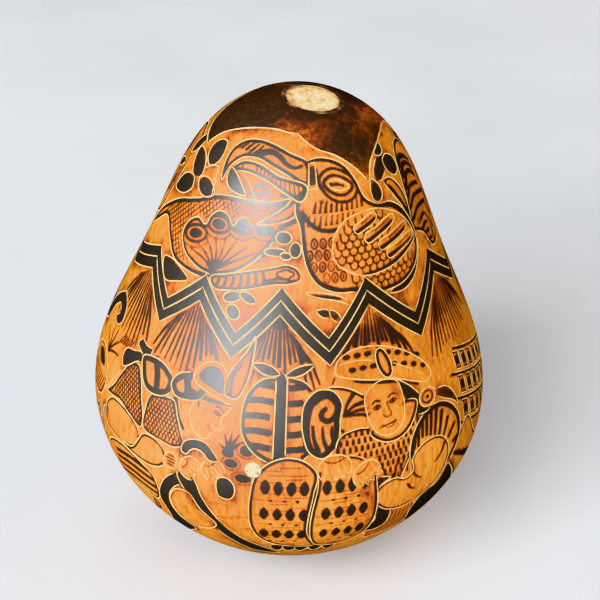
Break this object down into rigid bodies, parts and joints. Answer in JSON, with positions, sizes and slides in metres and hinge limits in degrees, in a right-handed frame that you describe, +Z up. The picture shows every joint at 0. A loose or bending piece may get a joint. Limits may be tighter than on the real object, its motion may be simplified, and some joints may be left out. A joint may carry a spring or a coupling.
{
  "type": "carved gourd rattle",
  "caption": "Pear-shaped dry gourd rattle without a handle, pyro-engraved all over, with a corky stem foot, a plugged filling hole and loose seeds inside",
  "frame": {"origin": "on the resting surface, under the middle of the bounding box", "axes": "+Z up along the rattle's height, -Y toward the front where the plugged hole is, +X to the right seen from the front"},
  "size_m": [0.1206, 0.1206, 0.1504],
  "materials": {
    "carved_gourd": "dry gourd skin, burnt and engraved, satin wax",
    "stem_cork": "rough sanded cork",
    "plug_wood": "pared pale wood",
    "seed": "hard smooth seed coat"
  },
  "bodies": {
    "gourd": {"gourd_shell": "carved_gourd", "stem_stub": "stem_cork", "filling_plug": "plug_wood"},
    "seed_01_body": {"seed_01": "seed"},
    "seed_02_body": {"seed_02": "seed"},
    "seed_03_body": {"seed_03": "seed"},
    "seed_04_body": {"seed_04": "seed"},
    "seed_05_body": {"seed_05": "seed"},
    "seed_06_body": {"seed_06": "seed"},
    "seed_07_body": {"seed_07": "seed"},
    "seed_08_body": {"seed_08": "seed"},
    "seed_09_body": {"seed_09": "seed"},
    "seed_10_body": {"seed_10": "seed"},
    "seed_11_body": {"seed_11": "seed"},
    "seed_12_body": {"seed_12": "seed"},
    "seed_13_body": {"seed_13": "seed"},
    "seed_14_body": {"seed_14": "seed"},
    "seed_15_body": {"seed_15": "seed"},
    "seed_16_body": {"seed_16": "seed"},
    "seed_17_body": {"seed_17": "seed"},
    "seed_18_body": {"seed_18": "seed"},
    "seed_19_body": {"seed_19": "seed"},
    "seed_20_body": {"seed_20": "seed"},
    "seed_21_body": {"seed_21": "seed"},
    "seed_22_body": {"seed_22": "seed"},
    "seed_23_body": {"seed_23": "seed"},
    "seed_24_body": {"seed_24": "seed"},
    "seed_25_body": {"seed_25": "seed"},
    "seed_26_body": {"seed_26": "seed"},
    "seed_27_body": {"seed_27": "seed"},
    "seed_28_body": {"seed_28": "seed"}
  },
  "joints": [
    {"name": "seed_01_bounce", "type": "slide", "parent": "gourd", "child": "seed_01_body", "axis": [0, 0, 1], "range_m": [0, 0.1391]},
    {"name": "seed_02_bounce", "type": "slide", "parent": "gourd", "child": "seed_02_body", "axis": [0, 0, 1], "range_m": [0, 0.1384]},
    {"name": "seed_03_bounce", "type": "slide", "parent": "gourd", "child": "seed_03_body", "axis": [0, 0, 1], "range_m": [0, 0.1387]},
    {"name": "seed_04_bounce", "type": "slide", "parent": "gourd", "child": "seed_04_body", "axis": [0, 0, 1], "range_m": [0, 0.138]},
    {"name": "seed_05_bounce", "type": "slide", "parent": "gourd", "child": "seed_05_body", "axis": [0, 0, 1], "range_m": [0, 0.138]},
    {"name": "seed_06_bounce", "type": "slide", "parent": "gourd", "child": "seed_06_body", "axis": [0, 0, 1], "range_m": [0, 0.1377]},
    {"name": "seed_07_bounce", "type": "slide", "parent": "gourd", "child": "seed_07_body", "axis": [0, 0, 1], "range_m": [0, 0.1361]},
    {"name": "seed_08_bounce", "type": "slide", "parent": "gourd", "child": "seed_08_body", "axis": [0, 0, 1], "range_m": [0, 0.1386]},
    {"name": "seed_09_bounce", "type": "slide", "parent": "gourd", "child": "seed_09_body", "axis": [0, 0, 1], "range_m": [0, 0.1372]},
    {"name": "seed_10_bounce", "type": "slide", "parent": "gourd", "child": "seed_10_body", "axis": [0, 0, 1], "range_m": [0, 0.1355]},
    {"name": "seed_11_bounce", "type": "slide", "parent": "gourd", "child": "seed_11_body", "axis": [0, 0, 1], "range_m": [0, 0.137]},
    {"name": "seed_12_bounce", "type": "slide", "parent": "gourd", "child": "seed_12_body", "axis": [0, 0, 1], "range_m": [0, 0.1346]},
    {"name": "seed_13_bounce", "type": "slide", "parent": "gourd", "child": "seed_13_body", "axis": [0, 0, 1], "range_m": [0, 0.1364]},
    {"name": "seed_14_bounce", "type": "slide", "parent": "gourd", "child": "seed_14_body", "axis": [0, 0, 1], "range_m": [0, 0.1363]},
    {"name": "seed_15_bounce", "type": "slide", "parent": "gourd", "child": "seed_15_body", "axis": [0, 0, 1], "range_m": [0, 0.1329]},
    {"name": "seed_16_bounce", "type": "slide", "parent": "gourd", "child": "seed_16_body", "axis": [0, 0, 1], "range_m": [0, 0.1371]},
    {"name": "seed_17_bounce", "type": "slide", "parent": "gourd", "child": "seed_17_body", "axis": [0, 0, 1], "range_m": [0, 0.134]},
    {"name": "seed_18_bounce", "type": "slide", "parent": "gourd", "child": "seed_18_body", "axis": [0, 0, 1], "range_m": [0, 0.1334]},
    {"name": "seed_19_bounce", "type": "slide", "parent": "gourd", "child": "seed_19_body", "axis": [0, 0, 1], "range_m": [0, 0.1355]},
    {"name": "seed_20_bounce", "type": "slide", "parent": "gourd", "child": "seed_20_body", "axis": [0, 0, 1], "range_m": [0, 0.1311]},
    {"name": "seed_21_bounce", "type": "slide", "parent": "gourd", "child": "seed_21_body", "axis": [0, 0, 1], "range_m": [0, 0.1353]},
    {"name": "seed_22_bounce", "type": "slide", "parent": "gourd", "child": "seed_22_body", "axis": [0, 0, 1], "range_m": [0, 0.1343]},
    {"name": "seed_23_bounce", "type": "slide", "parent": "gourd", "child": "seed_23_body", "axis": [0, 0, 1], "range_m": [0, 0.1303]},
    {"name": "seed_24_bounce", "type": "slide", "parent": "gourd", "child": "seed_24_body", "axis": [0, 0, 1], "range_m": [0, 0.1354]},
    {"name": "seed_25_bounce", "type": "slide", "parent": "gourd", "child": "seed_25_body", "axis": [0, 0, 1], "range_m": [0, 0.1304]},
    {"name": "seed_26_bounce", "type": "slide", "parent": "gourd", "child": "seed_26_body", "axis": [0, 0, 1], "range_m": [0, 0.1321]},
    {"name": "seed_27_bounce", "type": "slide", "parent": "gourd", "child": "seed_27_body", "axis": [0, 0, 1], "range_m": [0, 0.1342]},
    {"name": "seed_28_bounce", "type": "slide", "parent": "gourd", "child": "seed_28_body", "axis": [0, 0, 1], "range_m": [0, 0.1277]}
  ]
}
